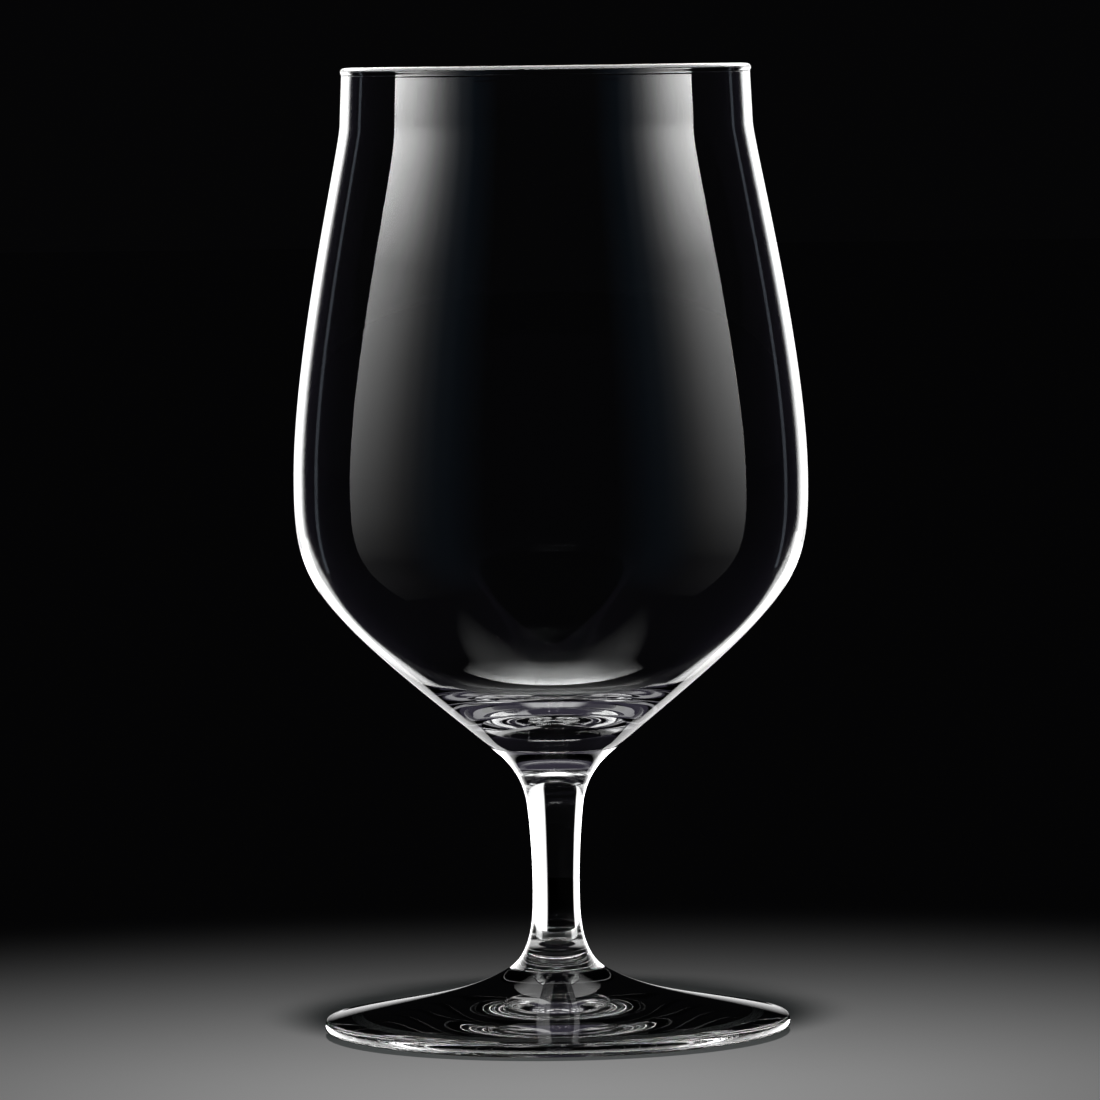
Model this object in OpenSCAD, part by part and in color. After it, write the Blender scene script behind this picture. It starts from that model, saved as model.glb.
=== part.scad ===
// Stemmed tulip beer glass in clear crystal glass.
// A thin blown bowl, a drawn solid stem and a pressed foot, joined end to end
// by two flat fire-welded seams.  Millimetres, +Z up; the origin is the centre
// of the resting plane under the foot, on the axis of revolution.

/* [Overall] */
// Height from the table to the top of the lip
glass_h = 166; // [162:0.5:170]

/* [Bowl outside] */
// Diameter of the straight mouth just under the lip bead
rim_d = 69.8; // [67:0.1:73]
// Diameter at the throat, where the straight mouth meets the curved wall
throat_d = 70.5; // [68:0.1:74]
// Length of the straight mouth, measured down from the top
mouth_h = 9.8; // [7:0.1:13]
// Largest diameter of the bowl
belly_d = 88; // [85:0.5:92]
// Height of the largest diameter
belly_z = 95; // [92:0.5:98]
// Half angle of the cone that closes the bowl, measured from the axis
cone_a = 50.9; // [49:0.1:53]

/* [Bowl inside] */
// Wall thickness at the mouth
wall_rim = 1.35; // [1:0.05:1.8]
// Wall thickness at the largest diameter
wall_belly = 1.0; // [0.8:0.05:1.4]
// How far the fire-polished lip bead stands out from the mouth
lip_bead = 0.15; // [0.05:0.05:0.3]
// Inside diameter where the cone ends and the rounded floor begins
heel_d = 47.8; // [44:0.2:49]
// Height where the rounded floor begins
heel_z = 62.1; // [61.8:0.1:63.5]
// Height of the inside floor on the axis
floor_z = 55; // [54:0.5:57]

/* [Stem] */
// Diameter of the upper weld, between bowl and stem
bowl_weld_d = 21.8; // [20.5:0.1:23]
// Height of the upper weld
bowl_weld_z = 49.3; // [48.8:0.1:49.8]
// Diameter where the flare under the bowl runs out into the stem
neck_d = 9.7; // [9:0.1:10.6]
// Height of that neck
neck_z = 39.8; // [38:0.1:41]
// Taper of the stem at the neck, measured from the axis
neck_a = 8.3; // [5:0.1:11]
// Smallest diameter of the stem
waist_d = 8; // [7.2:0.1:8.8]
// Height of the smallest diameter
waist_z = 25.5; // [24:0.5:28]

/* [Foot] */
// Diameter of the lower weld, between stem and foot
foot_weld_d = 16.4; // [15.4:0.1:17.4]
// Height of the lower weld
foot_weld_z = 11.3; // [10.5:0.1:12]
// Fall of the foot's top surface at the lower weld, from level
foot_weld_a = 32.5; // [30:0.5:35]
// Diameter of the foot
foot_d = 79.8; // [77:0.1:83]
// Height of the shoulder where the top surface turns over the edge
shoulder_z = 3; // [2.6:0.1:3.4]
// Fall of the top surface at the shoulder, from level
shoulder_a = 11.6; // [9:0.1:14]
// Height of the widest line of the edge
edge_z = 1.15; // [0.9:0.05:1.4]
// Outside diameter of the flat ring that the glass stands on
rest_d = 69.6; // [66:0.2:73]
// Width of the flat ring that the glass stands on
rest_w = 2; // [1:0.1:4]
// Depth of the hollow under the foot, on the axis
hollow_h = 2.2; // [1.5:0.1:3]

/* [Smoothness] */
// Number of steps along each curved stretch of the profile
steps = 12; // [8:1:40]

/* [Hidden] */
$fn = 180;

rim_r = rim_d / 2;
throat_r = throat_d / 2;
throat_z = glass_h - mouth_h;
belly_r = belly_d / 2;
heel_r = heel_d / 2;
bw_r = bowl_weld_d / 2;
neck_r = neck_d / 2;
waist_r = waist_d / 2;
fw_r = foot_weld_d / 2;
foot_r = foot_d / 2;
rest_r = rest_d / 2;
shoulder_r = foot_r - 1.2;

// Unit directions in the (radius, height) plane
cone_dir = [sin(cone_a), cos(cone_a)];
neck_dir = [sin(neck_a), cos(neck_a)];
weld_dir = [cos(foot_weld_a), -sin(foot_weld_a)];
shoulder_dir = [cos(shoulder_a), -sin(shoulder_a)];
up = [0, 1];
out = [1, 0];

// Point at parameter t of the cubic curve with control points a, b, c, d
function bez(a, b, c, d, t) =
    pow(1 - t, 3) * a + 3 * pow(1 - t, 2) * t * b + 3 * (1 - t) * t * t * c + pow(t, 3) * d;
// The curve from a to d, without its first point
function curve(a, b, c, d, n = steps) = [for (i = [1:n]) bez(a, b, c, d, i / n)];
// Arc about point c, from angle a0 to a1
function arc(c, r, a0, a1, n = steps) =
    [for (i = [0:n]) c + r * [cos(a0 + (a1 - a0) * i / n), sin(a0 + (a1 - a0) * i / n)]];

// Joining points of the profile
throat = [throat_r, throat_z];
belly = [belly_r, belly_z];
bowl_weld = [bw_r, bowl_weld_z];
neck = [neck_r, neck_z];
waist = [waist_r, waist_z];
foot_weld = [fw_r, foot_weld_z];
shoulder = [shoulder_r, shoulder_z];
edge = [foot_r, edge_z];
rest_out = [rest_r, 0];
rest_in = [rest_r - rest_w, 0];
throat_in = [throat_r - wall_rim, throat_z];
belly_in = [belly_r - wall_belly, belly_z];
heel = [heel_r, heel_z];
floor_in = [0, floor_z];

// Lip bead: a round of the wall's width plus the bead, flush with the inside
lip_r = (wall_rim + lip_bead) / 2;
lip_c = [rim_r - wall_rim + lip_r, glass_h - lip_r];
lip_a = acos((rim_r - lip_c[0]) / lip_r);

// Outside of the bowl, from the lip down to the upper weld
function bowl_outside() = concat(
    [throat],
    curve(throat, throat - 4.6 * up, belly + 21.9 * up, belly),
    curve(belly, belly - 16.7 * up, bowl_weld + 40.2 * cone_dir, bowl_weld, 2 * steps));

// Inside of the bowl, from the floor on the axis up to the throat
function bowl_inside() = concat(
    [floor_in],
    curve(floor_in, floor_in + 10 * out, heel - 8 * cone_dir, heel),
    curve(heel, heel + 24.5 * cone_dir, belly_in - 10.5 * up, belly_in, 2 * steps),
    curve(belly_in, belly_in + 21.9 * up, throat_in - 4.6 * up, throat_in));

module bowl() {
    color([0.90, 0.95, 0.97, 0.35])
    rotate_extrude()
    polygon(concat(
        arc(lip_c, lip_r, 180, -lip_a),
        bowl_outside(),
        [[0, bowl_weld_z]],
        bowl_inside()));
}

module stem() {
    color([0.90, 0.95, 0.97, 0.35])
    rotate_extrude()
    polygon(concat(
        [[0, bowl_weld_z], bowl_weld],
        curve(bowl_weld, bowl_weld - 2 * cone_dir, neck + 5.6 * neck_dir, neck),
        curve(neck, neck - 2.2 * neck_dir, waist + 5.8 * up, waist),
        curve(waist, waist - 4.4 * up, foot_weld - 5.1 * weld_dir, foot_weld),
        [[0, foot_weld_z]]));
}

module foot() {
    color([0.90, 0.95, 0.97, 0.35])
    rotate_extrude()
    polygon(concat(
        [[0, foot_weld_z], foot_weld],
        curve(foot_weld, foot_weld + 9.05 * weld_dir, shoulder - 10.9 * shoulder_dir, shoulder),
        curve(shoulder, shoulder + 1.2 * shoulder_dir, edge + 2.0 * up, edge, 10),
        curve(edge, edge - 0.37 * up, rest_out + 0.15 * out, rest_out, 10),
        [rest_in],
        curve(rest_in, rest_in - [3, -0.5], [12, hollow_h], [0, hollow_h])));
}

bowl();
stem();
foot();
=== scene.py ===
import math
import bpy
from mathutils import Matrix, Vector


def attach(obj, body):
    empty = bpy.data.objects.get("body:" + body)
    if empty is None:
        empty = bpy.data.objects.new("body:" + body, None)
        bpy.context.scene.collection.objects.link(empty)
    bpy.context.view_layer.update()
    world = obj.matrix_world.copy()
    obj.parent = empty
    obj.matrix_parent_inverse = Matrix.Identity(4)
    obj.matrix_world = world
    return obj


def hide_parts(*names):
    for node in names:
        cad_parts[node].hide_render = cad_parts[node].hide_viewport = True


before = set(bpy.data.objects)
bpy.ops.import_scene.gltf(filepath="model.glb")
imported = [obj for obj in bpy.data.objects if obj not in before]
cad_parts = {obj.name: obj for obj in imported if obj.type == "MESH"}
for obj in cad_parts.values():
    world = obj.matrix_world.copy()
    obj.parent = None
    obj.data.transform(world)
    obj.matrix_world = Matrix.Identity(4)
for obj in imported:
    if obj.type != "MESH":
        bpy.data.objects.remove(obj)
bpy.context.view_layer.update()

scene = bpy.context.scene

# ------------------------------------------------------------------ profile
# The same driving dimensions as the CAD part, in millimetres.
GLASS_H = 166.0
RIM_R, THROAT_R, THROAT_Z = 34.9, 35.25, 156.2
BELLY_R, BELLY_Z = 44.0, 95.0
CONE_A = math.radians(50.9)
WALL_RIM, WALL_BELLY, LIP_BEAD = 1.35, 1.0, 0.15
HEEL_R, HEEL_Z, FLOOR_Z = 23.9, 62.1, 55.0
BW_R, BW_Z = 10.9, 49.3
NECK_R, NECK_Z, NECK_A = 4.85, 39.8, math.radians(8.3)
WAIST_R, WAIST_Z = 4.0, 25.5
FW_R, FW_Z, FW_A = 8.2, 11.3, math.radians(32.5)
FOOT_R, SHOULDER_Z, SHOULDER_A = 39.9, 3.0, math.radians(11.6)
EDGE_Z, REST_R, REST_W, HOLLOW_H = 1.15, 34.8, 2.0, 2.2
SHOULDER_R = FOOT_R - 1.2

V2 = lambda r, z: Vector((r, z))
UP, OUT = V2(0, 1), V2(1, 0)
CONE = V2(math.sin(CONE_A), math.cos(CONE_A))
NECKD = V2(math.sin(NECK_A), math.cos(NECK_A))
WELDD = V2(math.cos(FW_A), -math.sin(FW_A))
SHOULD = V2(math.cos(SHOULDER_A), -math.sin(SHOULDER_A))


def bez(a, b, c, d, n):
    """Points of a cubic curve from a to d, without the first."""
    out = []
    for i in range(1, n + 1):
        t = i / n
        s = 1 - t
        out.append(a * s**3 + b * (3 * s * s * t) + c * (3 * s * t * t) + d * t**3)
    return out


def arc(c, r, a0, a1, n):
    return [c + V2(math.cos(a), math.sin(a)) * r
            for a in (math.radians(a0 + (a1 - a0) * i / n) for i in range(n + 1))]


def line(a, b, n):
    """Points from a to b, without the first."""
    return [a + (b - a) * (i / n) for i in range(1, n + 1)]


throat, belly = V2(THROAT_R, THROAT_Z), V2(BELLY_R, BELLY_Z)
bowl_weld, neck, waist = V2(BW_R, BW_Z), V2(NECK_R, NECK_Z), V2(WAIST_R, WAIST_Z)
foot_weld, shoulder, edge = V2(FW_R, FW_Z), V2(SHOULDER_R, SHOULDER_Z), V2(FOOT_R, EDGE_Z)
rest_out, rest_in = V2(REST_R, 0), V2(REST_R - REST_W, 0)
throat_in, belly_in = V2(THROAT_R - WALL_RIM, THROAT_Z), V2(BELLY_R - WALL_BELLY, BELLY_Z)
heel, floor_in = V2(HEEL_R, HEEL_Z), V2(0, FLOOR_Z)


def lathe(name, prof, seg, cap_faces=(), warp=None):
    """Closed body of revolution. prof is (r, z) in mm from axis point to axis point; cap_faces holds the
    indices of the profile edges that lie on a weld."""
    verts, rings = [], []
    for p in prof:
        if p.x < 1e-6:
            rings.append([len(verts)])
            verts.append((0.0, 0.0, p.y * 1e-3))
        else:
            ring = []
            for k in range(seg):
                a = 2 * math.pi * k / seg
                r, z = p.x, p.y
                if warp:
                    r, z = warp(r, z, a)
                ring.append(len(verts))
                verts.append((r * math.cos(a) * 1e-3, r * math.sin(a) * 1e-3, z * 1e-3))
            rings.append(ring)
    faces, mats = [], []
    for i in range(len(prof) - 1):
        a, b = rings[i], rings[i + 1]
        m = 1 if i in cap_faces else 0
        if len(a) == 1 and len(b) == 1:
            continue
        for k in range(seg):
            j = (k + 1) % seg
            if len(a) == 1:
                f = (a[0], b[k], b[j])
            elif len(b) == 1:
                f = (a[j], a[k], b[0])
            else:
                f = (a[j], a[k], b[k], b[j])
            faces.append(f)
            mats.append(m)
    me = bpy.data.meshes.new(name)
    me.from_pydata(verts, [], faces)
    me.validate()
    ob = bpy.data.objects.new(name, me)
    scene.collection.objects.link(ob)
    me.polygons.foreach_set("material_index", mats)
    me.polygons.foreach_set("use_smooth", [m == 0 for m in mats])
    me.update()
    return ob


# ------------------------------------------------------------------ materials
def new_mat(name):
    m = bpy.data.materials.new(name)
    m.use_nodes = True
    nt = m.node_tree
    nt.nodes.clear()
    return m, nt


def glass_mat(name, ripple, scale):
    m, nt = new_mat(name)
    N, L = nt.nodes, nt.links
    out = N.new("ShaderNodeOutputMaterial")
    bs = N.new("ShaderNodeBsdfPrincipled")
    bs.inputs["Base Color"].default_value = (0.985, 0.993, 0.990, 1)
    bs.inputs["IOR"].default_value = 1.52
    bs.inputs["Transmission Weight"].default_value = 1.0
    co = N.new("ShaderNodeTexCoord")
    rn = N.new("ShaderNodeTexNoise")
    rn.inputs["Scale"].default_value = 34.0
    rn.inputs["Detail"].default_value = 3.0
    L.new(co.outputs["Object"], rn.inputs["Vector"])
    rr = N.new("ShaderNodeMapRange")
    rr.inputs["From Min"].default_value = 0.35
    rr.inputs["From Max"].default_value = 0.75
    rr.inputs["To Min"].default_value = 0.002
    rr.inputs["To Max"].default_value = 0.030
    L.new(rn.outputs["Fac"], rr.inputs["Value"])
    L.new(rr.outputs[0], bs.inputs["Roughness"])
    no = N.new("ShaderNodeTexNoise")
    no.inputs["Scale"].default_value = scale
    no.inputs["Detail"].default_value = 1.0
    L.new(co.outputs["Object"], no.inputs["Vector"])
    bu = N.new("ShaderNodeBump")
    bu.inputs["Strength"].default_value = 1.0
    bu.inputs["Distance"].default_value = ripple
    L.new(no.outputs["Fac"], bu.inputs["Height"])
    L.new(bu.outputs["Normal"], bs.inputs["Normal"])
    tr = N.new("ShaderNodeBsdfTransparent")
    tr.inputs["Color"].default_value = (0.54, 0.56, 0.56, 1)
    lp = N.new("ShaderNodeLightPath")
    mx = N.new("ShaderNodeMixShader")
    L.new(lp.outputs["Is Shadow Ray"], mx.inputs[0])
    L.new(bs.outputs[0], mx.inputs[1])
    L.new(tr.outputs[0], mx.inputs[2])
    L.new(mx.outputs[0], out.inputs["Surface"])
    return m


def weld_mat():
    m, nt = new_mat("weld_plane")
    out = nt.nodes.new("ShaderNodeOutputMaterial")
    tr = nt.nodes.new("ShaderNodeBsdfTransparent")
    nt.links.new(tr.outputs[0], out.inputs["Surface"])
    return m


WELD = weld_mat()
G_BOWL = glass_mat("bowl_crystal", 0.000004, 60.0)
G_STEM = glass_mat("stem_crystal", 0.000004, 90.0)
G_FOOT = glass_mat("foot_crystal", 0.000004, 90.0)

# ------------------------------------------------------------------ pieces
SEG = 320
lip_r = (WALL_RIM + LIP_BEAD) / 2
lip_c = V2(RIM_R - WALL_RIM + lip_r, GLASS_H - lip_r)
lip_a = math.degrees(math.acos((RIM_R - lip_c.x) / lip_r))
MOUTH = (V2(RIM_R, lip_c.y - 1.1) - throat).normalized()
SEAM = 0.06

inside = [floor_in] + bez(floor_in, floor_in + OUT * 10, heel - CONE * 8, heel, 48) \
    + bez(heel, heel + CONE * 24.5, belly_in - UP * 10.5, belly_in, 60) \
    + bez(belly_in, belly_in + UP * 21.9, throat_in - MOUTH * 4.6, throat_in, 40)
lip = line(throat_in, lip_c - OUT * lip_r, 12)[:-1] + arc(lip_c, lip_r, 180, -lip_a + 14, 24)
lip_end, wall_top = lip[-1], V2(RIM_R, lip_c.y - 1.1)
lip += bez(lip_end, lip_end + V2(-0.16, -0.20), wall_top + UP * 0.3, wall_top, 12) + line(wall_top, throat, 12)[:-1]
outside = [throat] + bez(throat, throat - MOUTH * 4.6, belly + UP * 21.9, belly, 40) \
    + bez(belly, belly - UP * 16.7, bowl_weld + CONE * 40.2, bowl_weld, 56)
bowl_prof = inside + lip + outside[:-1] + [bowl_weld + CONE * SEAM, bowl_weld - OUT * SEAM, V2(0, BW_Z)]
bowl = lathe("bowl_glass", bowl_prof, SEG, {len(bowl_prof) - 2})

stem_prof = [V2(0, BW_Z), bowl_weld - OUT * SEAM, bowl_weld - CONE * SEAM] + bez(bowl_weld, bowl_weld - CONE * 2, neck + NECKD * 5.6, neck, 40) \
    + bez(neck, neck - NECKD * 2.2, waist + UP * 5.8, waist, 24) \
    + bez(waist, waist - UP * 4.4, foot_weld - WELDD * 5.1, foot_weld, 40)[:-1] \
    + [foot_weld - WELDD * SEAM, foot_weld - OUT * SEAM, V2(0, FW_Z)]
stem = lathe("stem_glass", stem_prof, 192, {0, len(stem_prof) - 2})

foot_prof = [V2(0, FW_Z), foot_weld - OUT * SEAM, foot_weld + WELDD * SEAM] + bez(foot_weld, foot_weld + WELDD * 9.05, shoulder - SHOULD * 10.9, shoulder, 60) \
    + bez(shoulder, shoulder + SHOULD * 1.2, edge + UP * 2.0, edge, 24) \
    + bez(edge, edge - UP * 0.37, rest_out + OUT * 0.15, rest_out, 24) + [rest_in] \
    + bez(rest_in, rest_in - V2(3, -0.5), V2(12, HOLLOW_H), V2(0, HOLLOW_H), 50)
foot = lathe("foot_glass", foot_prof, SEG, {0})

for ob, mat, node in ((bowl, G_BOWL, "bowl"), (stem, G_STEM, "stem"), (foot, G_FOOT, "foot")):
    ob.data.materials.append(mat)
    ob.data.materials.append(WELD)
    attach(ob, "root")
    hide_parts(node)

# ------------------------------------------------------------------ stage
def floor_mat():
    m, nt = new_mat("floor_pale")
    N, L = nt.nodes, nt.links
    out = N.new("ShaderNodeOutputMaterial")
    bs = N.new("ShaderNodeBsdfDiffuse")
    bs.inputs["Color"].default_value = (0.80, 0.80, 0.80, 1)
    # painted dark reflection: the pale floor shows near black wherever the glass mirrors it
    no = N.new("ShaderNodeBsdfDiffuse")
    no.inputs["Color"].default_value = (0.004, 0.004, 0.004, 1)
    lp = N.new("ShaderNodeLightPath")
    te = N.new("ShaderNodeMath")
    te.operation = "GREATER_THAN"
    te.inputs[1].default_value = 0.5
    L.new(lp.outputs["Glossy Depth"], te.inputs[0])
    mx = N.new("ShaderNodeMixShader")
    L.new(te.outputs[0], mx.inputs[0])
    L.new(bs.outputs[0], mx.inputs[1])
    L.new(no.outputs[0], mx.inputs[2])
    L.new(mx.outputs[0], out.inputs["Surface"])
    return m


fm = bpy.data.meshes.new("floor")
fm.from_pydata([(-6, -6, 0), (6, -6, 0), (6, 6, 0), (-6, 6, 0)], [], [(0, 1, 2, 3)])
floor = bpy.data.objects.new("floor", fm)
scene.collection.objects.link(floor)
floor.data.materials.append(floor_mat())


def panel_mat(name, build):
    m, nt = new_mat(name)
    N, L = nt.nodes, nt.links
    out = N.new("ShaderNodeOutputMaterial")
    em = N.new("ShaderNodeEmission")
    build(N, L, em)
    tr = N.new("ShaderNodeBsdfTransparent")
    ad = N.new("ShaderNodeAddShader")
    L.new(em.outputs[0], ad.inputs[0])
    L.new(tr.outputs[0], ad.inputs[1])
    L.new(ad.outputs[0], out.inputs["Surface"])
    m.cycles.emission_sampling = "NONE"
    return m


def uv_ramp(N, L, em, u_pts, v_pts, power, tint=(1, 1, 1), through=None, mirrors=None, welds=None):
    """Emission strength = power * f(u) * g(v), u and v from the panel's own uv map. With through and mirrors, only light
    that has passed, or been mirrored by, that many glass surfaces, lowest and highest number, is let in. With welds, the
    same for the see-through faces of the welds."""
    em.inputs["Color"].default_value = (*tint, 1)
    uv = N.new("ShaderNodeUVMap")
    sp = N.new("ShaderNodeSeparateXYZ")
    L.new(uv.outputs[0], sp.inputs[0])

    def ramp(sock, pts):
        r = N.new("ShaderNodeValToRGB")
        r.color_ramp.interpolation = "LINEAR"
        el = r.color_ramp.elements
        while len(el) > 1:
            el.remove(el[0])
        el[0].position = pts[0][0]
        el[0].color = (pts[0][1],) * 3 + (1,)
        for p, v in pts[1:]:
            e = el.new(p)
            e.color = (v,) * 3 + (1,)
        L.new(sock, r.inputs[0])
        return r.outputs[0]

    a = ramp(sp.outputs[0], u_pts)
    b = ramp(sp.outputs[1], v_pts)
    mu = N.new("ShaderNodeMath")
    mu.operation = "MULTIPLY"
    L.new(a, mu.inputs[0])
    L.new(b, mu.inputs[1])
    m2 = N.new("ShaderNodeMath")
    m2.operation = "MULTIPLY"
    m2.inputs[1].default_value = power
    L.new(mu.outputs[0], m2.inputs[0])
    last = m2
    for limits, depth in ((through, "Transmission Depth"), (mirrors, "Glossy Depth"), (welds, "Transparent Depth")):
        if limits is None:
            continue
        lp = N.new("ShaderNodeLightPath")
        for op, limit in (("GREATER_THAN", limits[0] - 0.5), ("LESS_THAN", limits[1] + 0.5)):
            te = N.new("ShaderNodeMath")
            te.operation = op
            te.inputs[1].default_value = limit
            L.new(lp.outputs[depth], te.inputs[0])
            nx = N.new("ShaderNodeMath")
            nx.operation = "MULTIPLY"
            L.new(last.outputs[0], nx.inputs[0])
            L.new(te.outputs[0], nx.inputs[1])
            last = nx
    L.new(last.outputs[0], em.inputs["Strength"])


RECEIVERS = {}


def receivers(*obs):
    """Collection that holds the pieces a panel may light."""
    key = "lit_" + "_".join(o.name for o in obs)
    if key not in RECEIVERS:
        col = bpy.data.collections.new(key)
        for o in obs:
            col.objects.link(o)
        RECEIVERS[key] = col
    return RECEIVERS[key]


def finish_panel(ob, u_pts, v_pts, power, glossy, transmission, only=None, **kw):
    scene.collection.objects.link(ob)
    ob.data.materials.append(panel_mat(ob.name, lambda N, L, em: uv_ramp(N, L, em, u_pts, v_pts, power, **kw)))
    ob.visible_camera = False
    ob.visible_diffuse = False
    ob.visible_shadow = False
    ob.visible_glossy = glossy
    ob.visible_transmission = transmission
    if only:
        ob.light_linking.receiver_collection = receivers(*only)
    return ob


def curtain(name, rows, u_pts, v_pts, power, glossy, transmission, n=24, **kw):
    """Curved softbox round the axis. Each row is radius and height in metres and the two end angles in degrees from -Y,
    positive towards +X; u runs between the ends, v along the rows."""
    verts, faces, uvs = [], [], []
    m = len(rows)
    for i in range(n + 1):
        for r, z, a0, a1 in rows:
            a = math.radians(a0 + (a1 - a0) * i / n)
            verts.append((r * math.sin(a), -r * math.cos(a), z))
    for i in range(n):
        for j in range(m - 1):
            faces.append((m * i + j, m * i + m + j, m * i + m + j + 1, m * i + j + 1))
            uvs += [(i / n, j / (m - 1)), ((i + 1) / n, j / (m - 1)), ((i + 1) / n, (j + 1) / (m - 1)), (i / n, (j + 1) / (m - 1))]
    me = bpy.data.meshes.new(name)
    me.from_pydata(verts, [], faces)
    layer = me.uv_layers.new(name="UVMap")
    for l, uv in zip(layer.data, uvs):
        l.uv = uv
    return finish_panel(bpy.data.objects.new(name, me), u_pts, v_pts, power, glossy, transmission, **kw)


def flat_panel(name, centre, half, u_pts, v_pts, power, glossy, transmission, **kw):
    """Level softbox facing down; u runs along +X, v along +Y."""
    x, y, z = centre
    h, k = half
    me = bpy.data.meshes.new(name)
    me.from_pydata([(x - h, y - k, z), (x + h, y - k, z), (x + h, y + k, z), (x - h, y + k, z)], [], [(0, 3, 2, 1)])
    layer = me.uv_layers.new(name="UVMap")
    for l, uv in zip(layer.data, [(0, 0), (0, 1), (1, 1), (1, 0)]):
        l.uv = uv
    return finish_panel(bpy.data.objects.new(name, me), u_pts, v_pts, power, glossy, transmission, **kw)


SOFT = [(0.0, 0.0), (0.2, 1.0), (0.8, 1.0), (1.0, 0.0)]
FLAT = [(0.0, 1.0), (1.0, 1.0)]

# the bowl's outline, from low to high, opened out by a quarter
HUG = 1.25
hug = [(p.x * HUG * 1e-3, p.y * 1e-3) for p in reversed(outside) if p.y > 74] + [(THROAT_R * HUG * 1e-3, 0.172)]
# below the belly the outline is mirrored downwards, so that light comes from lower and further round
KICK = [(0.008, 138, 166), (0.019, 141, 166), (0.027, 138, 165), (0.034, 133, 160), (0.040, 129, 155), (0.047, 124, 150),
        (0.054, 117, 145), (0.060, 111, 139), (0.065, 107, 134), (0.072, 105, 131), (0.080, 104, 128)]
CUT = [(0.0, 0.0), (0.10, 1.0), (1.0, 1.0)]
for s, side in ((1, "right"), (-1, "left")):
    # upright strips beside and behind the glass, which draw the bright outlines of the bowl
    curtain("strip_" + side, [(r, z, s * 97, s * 126) for r, z in hug], CUT, FLAT, 1.5, True, True, through=(0, 2),
            mirrors=(1, 3), only=(bowl,))
    curtain("rear_" + side, [(r, z, s * 142, s * 173) for r, z in hug], SOFT, [(0.0, 0.0), (0.35, 1.0), (1.0, 1.0)], 1.2, True,
            True, through=(0, 2), mirrors=(1, 2), only=(bowl,))
    curtain("kick_" + side, [(0.060, z, s * a, s * b) for z, a, b in KICK], CUT, FLAT, 1.5, True, True, through=(0, 2),
            mirrors=(0, 1), only=(bowl,))
    curtain("glint_" + side, [(0.061, z, s * a, s * b) for z, a, b in KICK], CUT, FLAT, 0.3, True, True, through=(0, 2),
            mirrors=(2, 9), only=(bowl,))
    curtain("faint_" + side, [(r, z, s * 84, s * 87) for r, z in hug], SOFT, FLAT, 0.30, False, True, tint=(0.75, 0.85, 1.0),
            through=(0, 2), only=(bowl,))
    # low boards for the stem
    inner = 168 if s > 0 else 149
    for name, power, count, d in (("low_", 1.3, (0, 0), 0.0), ("low_dim_", 0.35, (1, 12), 0.001)):
        board = [(0.030 + d, 0.0065, s * 96, s * inner), (0.030 + d, 0.030, s * 96, s * inner),
                 (0.045 + d, 0.050, s * 96, s * inner), (0.045 + d, 0.085, s * 96, s * inner)]
        curtain(name + side, board, [(0.0, 0.0), (0.12, 1.0), (0.97, 1.0), (1.0, 0.0)], FLAT, power, False, True, mirrors=count,
                only=(stem,))
    # mirrored along both edges of the stem and of its flares
    curtain("spread_" + side, [(0.057, 0.005, s * 120, s * 172), (0.057, 0.065, s * 120, s * 172)], SOFT, FLAT, 2.0, True, False,
            through=(0, 0), mirrors=(1, 1), only=(stem,))
    curtain("flare_" + side, [(0.022, 0.012, s * 122, s * 174), (0.022, 0.046, s * 122, s * 174)], SOFT, FLAT, 3.0, True, False,
            through=(0, 0), mirrors=(1, 1), only=(stem,))
    # small cards that fill the white edges of the two flares, by light that has crossed a weld
    curtain("flare_a_" + side, [(0.0615, 0.085, s * 134, s * 152), (0.0615, 0.130, s * 134, s * 152)], FLAT, SOFT, 1.5, False, True,
            through=(4, 4), mirrors=(1, 1), welds=(2, 9), only=(bowl,))
    curtain("flare_b_" + side, [(0.0615, 0.086, s * 46, s * 75), (0.0615, 0.108, s * 46, s * 75)], SOFT, FLAT, 1.5, False, True,
            through=(4, 4), mirrors=(1, 1), welds=(2, 9), only=(bowl,))
    curtain("flare_c_" + side, [(0.0285, 0.0056, s * 46, s * 168), (0.0285, 0.060, s * 46, s * 168)], SOFT, FLAT, 1.2, False, True,
            mirrors=(1, 9), welds=(2, 3), only=(bowl,))
    curtain("flare_d_" + side, [(0.006, 0.0003, s * 20, s * 160), (0.030, 0.0003, s * 20, s * 160)], SOFT, FLAT, 0.9, False, True,
            mirrors=(1, 9), welds=(2, 3), only=(foot,))
    curtain("flare_g_" + side, [(0.0585, 0.001, s * 136, s * 158), (0.0585, 0.010, s * 136, s * 158)], SOFT, FLAT, 3.0, True, False,
            through=(2, 2), mirrors=(1, 1), only=(foot,))
    # soft glow along the rear edge of the foot
    curtain("foot_" + side, [(0.058, 0.003, s * 125, s * 170), (0.058, 0.009, s * 125, s * 170)], SOFT,
            [(0.0, 1.0), (1.0, 0.0)], 1.2, True, False, only=(foot,))

# painted shade in the glass: a near-black card on the floor around the foot, hidden from the camera, seen by the solid
# stem and foot only in place of the lit floor, clear to light that has passed the bowl
ring = bpy.data.meshes.new("dark_card")
rv = [(r * math.cos(2 * math.pi * k / 96), r * math.sin(2 * math.pi * k / 96), 0.0006) for k in range(96) for r in (0.0405, 0.30)]
ring.from_pydata(rv, [], [(2 * k, 2 * k + 1, (2 * k + 3) % 192, (2 * k + 2) % 192) for k in range(96)])
card = bpy.data.objects.new("dark_card", ring)
scene.collection.objects.link(card)
cm, cnt = new_mat("card_black")
CN, CL = cnt.nodes, cnt.links
co_, cd, ct = CN.new("ShaderNodeOutputMaterial"), CN.new("ShaderNodeBsdfDiffuse"), CN.new("ShaderNodeBsdfTransparent")
# near-black colour: painted shade that the stem and foot show in place of the lit floor
cd.inputs["Color"].default_value = (0.004, 0.004, 0.004, 1)
cl, cg, cx = CN.new("ShaderNodeLightPath"), CN.new("ShaderNodeMath"), CN.new("ShaderNodeMixShader")
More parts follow.
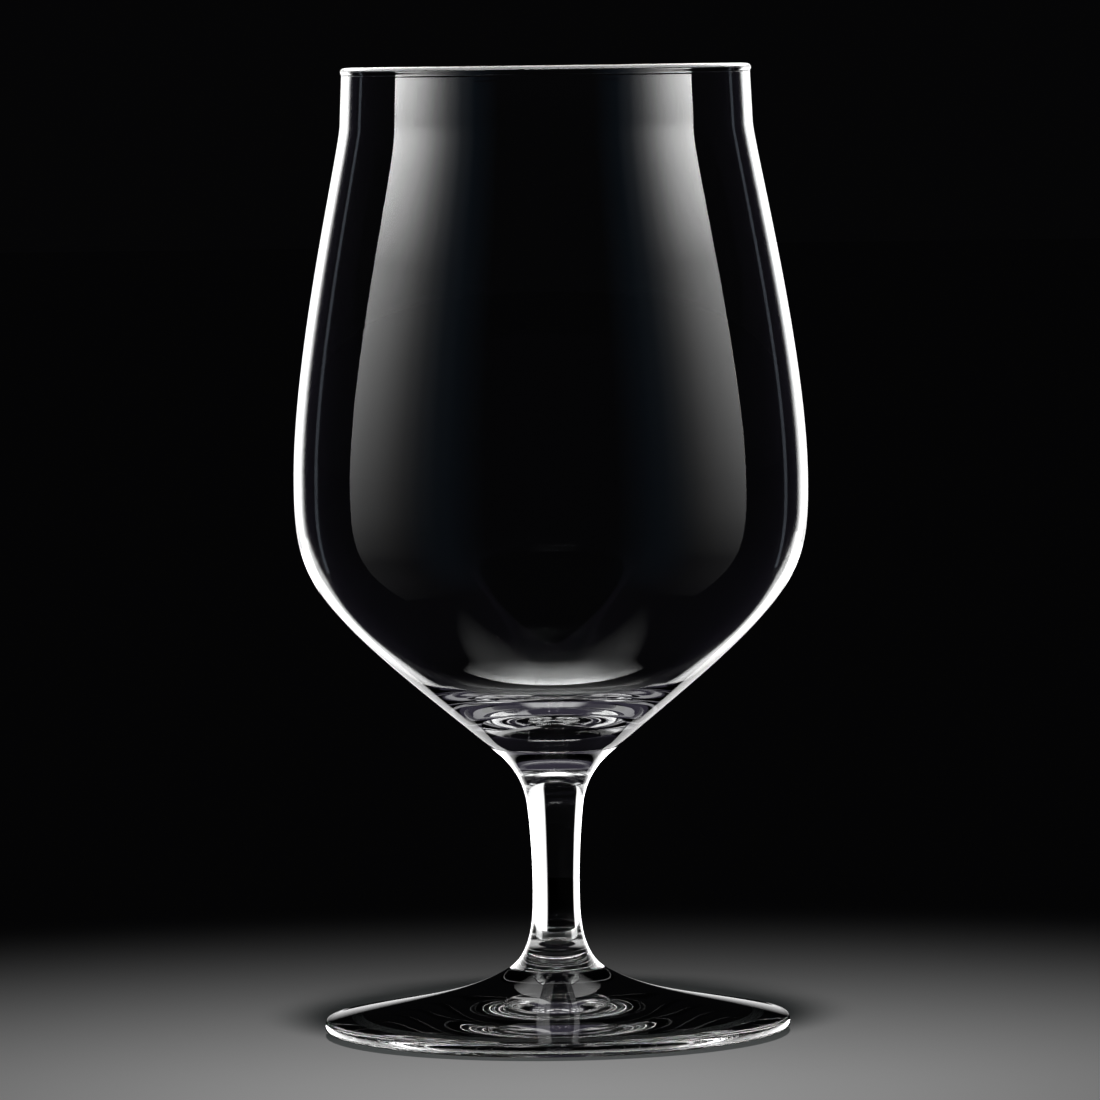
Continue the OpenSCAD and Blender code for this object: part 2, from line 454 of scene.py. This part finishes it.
cg.operation = "GREATER_THAN"
cg.inputs[1].default_value = 2.5
CL.new(cl.outputs["Transmission Depth"], cg.inputs[0])
CL.new(cg.outputs[0], cx.inputs[0])
CL.new(cd.outputs[0], cx.inputs[1])
CL.new(ct.outputs[0], cx.inputs[2])
CL.new(cx.outputs[0], co_.inputs["Surface"])
card.data.materials.append(cm)
card.visible_camera = card.visible_diffuse = card.visible_shadow = False

# large soft side boxes: sharp rear edge, fading to the front and downwards
SIDE_U = [(0.0, 0.0), (0.15, 0.015), (0.29, 0.08), (0.43, 0.22), (0.57, 0.44), (0.71, 0.65), (0.86, 0.82), (1.0, 1.0)]
SIDE_V = [(0.0, 0.002), (0.06, 0.003), (0.28, 0.010), (0.38, 0.035), (0.48, 0.080), (0.58, 0.13), (0.68, 0.19), (0.82, 0.30),
          (0.95, 0.76), (1.0, 1.0)]
for s, side, rear in ((-1, "left", 72), (1, "right", 69)):
    curtain("side_" + side, [(0.07, 0.030, s * 30, s * rear), (0.07, 0.1665, s * 30, s * rear)], SIDE_U, SIDE_V, 14.5, True, False)

# cool tails of the side boxes
for s, side in ((-1, "left"), (1, "right")):
    curtain("side_cool_" + side, [(0.0715, 0.030, s * 20, s * 52), (0.0715, 0.1665, s * 20, s * 52)],
            [(0.0, 0.0), (0.4, 1.0), (0.6, 1.0), (1.0, 0.0)], [(0.0, 0.0), (0.3, 0.5), (1.0, 1.0)], 0.12, True, False,
            tint=(0.35, 0.65, 1.0))
# weak violet fill that only shows in the thick glass of the base
curtain("base_fill", [(0.30, 0.001, 0, 360), (0.30, 0.50, 0, 360), (0.001, 0.50, 0, 360)], FLAT, FLAT, 0.042, True, True, n=64,
        tint=(0.74, 0.66, 1.0), mirrors=(2, 12), only=(bowl, stem))

# overhead box behind the glass: mirrored on the lip and the foot, seen in the bottom of the bowl, faint in the thick base
curtain("lip_ring", [(0.018, 0.172, 0, 360), (0.056, 0.172, 0, 360)], FLAT, SOFT, 6.0, True, False, n=96,
        through=(0, 0), mirrors=(1, 1), only=(bowl,))
flat_panel("top_foot", (0, 0.55, 0.75), (0.26, 0.28), SOFT, [(0.0, 0.0), (0.4, 1.0), (1.0, 1.0)], 1.0, True, False,
           only=(foot, stem))
flat_panel("top_heel", (0, 0.39, 0.76), (0.36, 0.27), [(0.0, 0.0), (0.2, 0.3), (0.38, 1.0), (0.62, 1.0), (0.8, 0.3), (1.0, 0.0)],
           [(0.0, 0.0), (0.3, 0.35), (0.6, 0.50), (0.85, 1.0), (1.0, 1.0)], 10.0, True, True, through=(3, 4), mirrors=(0, 1), only=(bowl,))
flat_panel("top_base", (0, 0.36, 0.77), (0.30, 0.24), SOFT, SOFT, 3.0, True, True, mirrors=(2, 2), only=(bowl,))
flat_panel("top_deep", (0, 0.36, 0.78), (0.30, 0.24), SOFT, SOFT, 0.5, True, True, mirrors=(3, 12), only=(bowl,))

# bright line along the front edge of the foot, from a low strip in front, a front softbox and a rear strip
curtain("edge_front", [(0.041, 0.0009, -100, 100), (0.050, 0.0009, -100, 100)], FLAT, [(0.0, 1.0), (1.0, 0.0)], 8.0, True, True, n=48,
        only=(foot,))
flat_panel("edge_top", (0, -0.8, 0.76), (0.5, 0.4), SOFT, SOFT, 10.0, True, True, mirrors=(2, 9), only=(foot,))
curtain("edge_rear", [(0.062, 0.0009, 105, 255), (0.062, 0.003, 105, 255)], SOFT, FLAT, 0.35, False, True, n=48, only=(foot,))

# pool of light on the floor under and around the glass
sp = bpy.data.lights.new("floor_pool", "SPOT")
sp.energy = 40.0
sp.spot_size = math.radians(13)
sp.spot_blend = 1.0
sp.shadow_soft_size = 0.12
so = bpy.data.objects.new("floor_pool", sp)
so.location = (0.0, -0.45, 1.5)
so.rotation_euler = (math.atan2(0.36, 1.5), 0, 0)
scene.collection.objects.link(so)
so.visible_glossy = False
so.visible_transmission = False

w = bpy.data.worlds.new("world")
scene.world = w
w.use_nodes = True
w.node_tree.nodes["Background"].inputs[0].default_value = (0.0016, 0.0016, 0.0018, 1)
w.node_tree.nodes["Background"].inputs[1].default_value = 1.0

# ------------------------------------------------------------------ camera
D, SCALE = 1.360, 0.17104e-3
F = D / SCALE
cam_d = bpy.data.cameras.new("camera")
cam_d.sensor_width = 36.0
cam_d.lens = 36.0 * F / 1100.0
cam_d.clip_start, cam_d.clip_end = 0.1, 30
cam = bpy.data.objects.new("camera", cam_d)
scene.collection.objects.link(cam)
pitch = math.atan(484.0 / F)
roll = math.radians(0.755)
cam.location = (-0.0003, -D, 0.1659)
cam.rotation_mode = "QUATERNION"
cam.rotation_quaternion = (Matrix.Rotation(math.pi / 2 - pitch, 3, "X") @ Matrix.Rotation(-roll, 3, "Z")).to_quaternion()
scene.camera = cam

# ------------------------------------------------------------------ look
scene.view_settings.view_transform = "Standard"
scene.view_settings.look = "None"
c = scene.cycles
c.max_bounces = 40
c.transmission_bounces = 40
c.glossy_bounces = 24
c.diffuse_bounces = 3
c.transparent_max_bounces = 40
c.caustics_reflective = False
c.caustics_refractive = False
c.blur_glossy = 0.0
c.sample_clamp_indirect = 0.0
c.use_denoising = True
